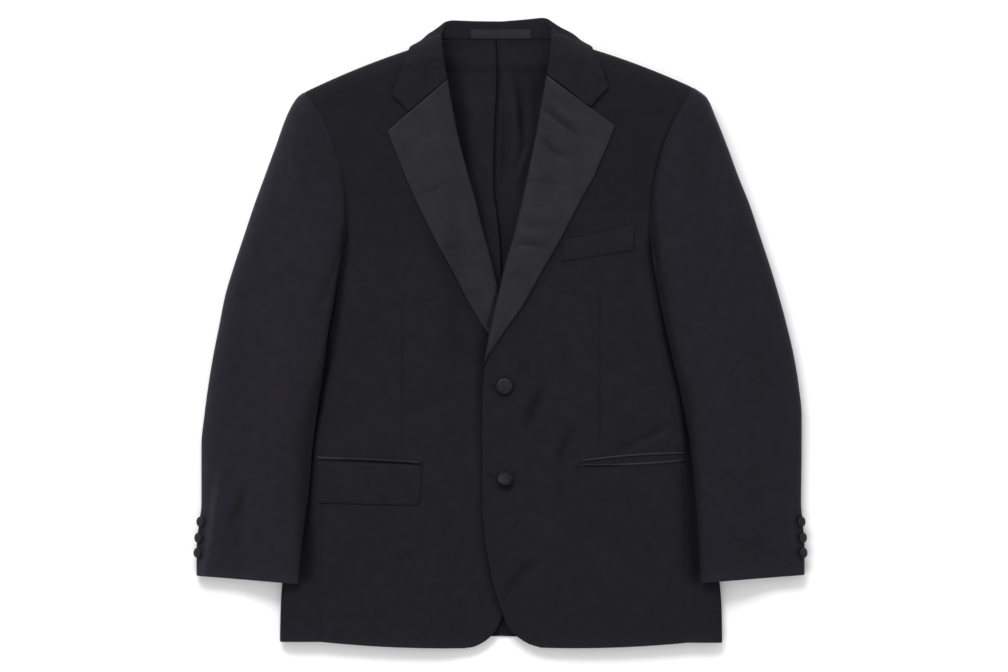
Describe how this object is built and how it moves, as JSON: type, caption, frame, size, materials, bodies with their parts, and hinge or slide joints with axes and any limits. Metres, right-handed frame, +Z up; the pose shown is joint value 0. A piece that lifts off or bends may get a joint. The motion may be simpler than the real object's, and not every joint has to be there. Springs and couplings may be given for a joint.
{
  "type": "tuxedo jacket laid flat",
  "caption": "Black wool tuxedo jacket with satin notched lapels, covered buttons and satin-trimmed pockets, buttoned and laid flat on its back",
  "frame": {"origin": "middle of the jacket's length and width, on the surface it lies on", "axes": "+Y from the hem to the collar, +X to the wearer's left, +Z up from the surface, through back and front"},
  "size_m": [0.736, 0.7559, 0.0455],
  "materials": {
    "wool": "matte fine twill",
    "satin": "satin",
    "lining": "smooth lining twill",
    "label": "matte woven"
  },
  "bodies": {
    "root": {"back_left": "wool", "back_right": "wool", "chest_welt": "wool", "collar": "wool", "cuff_button_left_1": "satin", "cuff_button_left_2": "satin", "cuff_button_left_3": "satin", "cuff_button_right_1": "satin", "cuff_button_right_2": "satin", "cuff_button_right_3": "satin", "front_button_lower": "satin", "front_button_upper": "satin", "front_left": "wool", "front_right": "wool", "lapel_left": "satin", "lapel_right": "satin", "lining_back": "lining", "neck_label": "label", "pocket_flap_right": "wool", "pocket_jet_lower_left": "satin", "pocket_jet_right": "satin", "pocket_jet_upper_left": "satin", "side_panel_left": "wool", "side_panel_right": "wool", "top_sleeve_left": "wool", "top_sleeve_right": "wool", "under_sleeve_left": "wool", "under_sleeve_right": "wool"}
  },
  "joints": []
}
